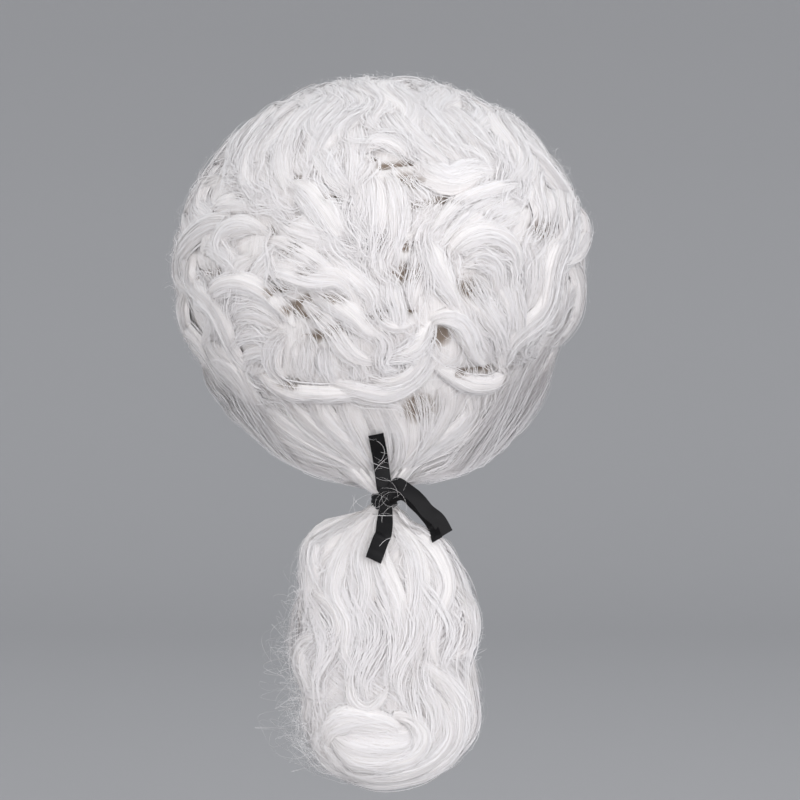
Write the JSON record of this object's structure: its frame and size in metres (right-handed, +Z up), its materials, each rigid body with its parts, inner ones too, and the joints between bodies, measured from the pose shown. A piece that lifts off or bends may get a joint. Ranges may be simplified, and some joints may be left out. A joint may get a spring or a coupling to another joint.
{
  "type": "powdered wig with a ribbon-tied queue",
  "caption": "Full white wig with waved hair over a net cap, open for the head below, and a long queue tied at the nape with black ribbon.",
  "frame": {"origin": "inner crown of the cap, where the top of a head bears", "axes": "+Z up along the head, the wearer faces +Y, +X to the wearer's right"},
  "size_m": [0.2971, 0.2693, 0.4927],
  "materials": {
    "cap_net": "matte tan net with weft rows",
    "white_hair": "soft white powdered hair",
    "black_ribbon": "black satin ribbon"
  },
  "bodies": {
    "root": {"wig_cap": "cap_net", "crown_hair": "white_hair", "front_hair": "white_hair", "left_side_hair": "white_hair", "right_side_hair": "white_hair", "back_hair": "white_hair", "nape_hair": "white_hair", "queue": "white_hair", "ribbon_wrap": "black_ribbon", "ribbon_knot": "black_ribbon", "ribbon_tail_up": "black_ribbon", "ribbon_loop": "black_ribbon", "ribbon_tail_down": "black_ribbon"}
  },
  "joints": []
}
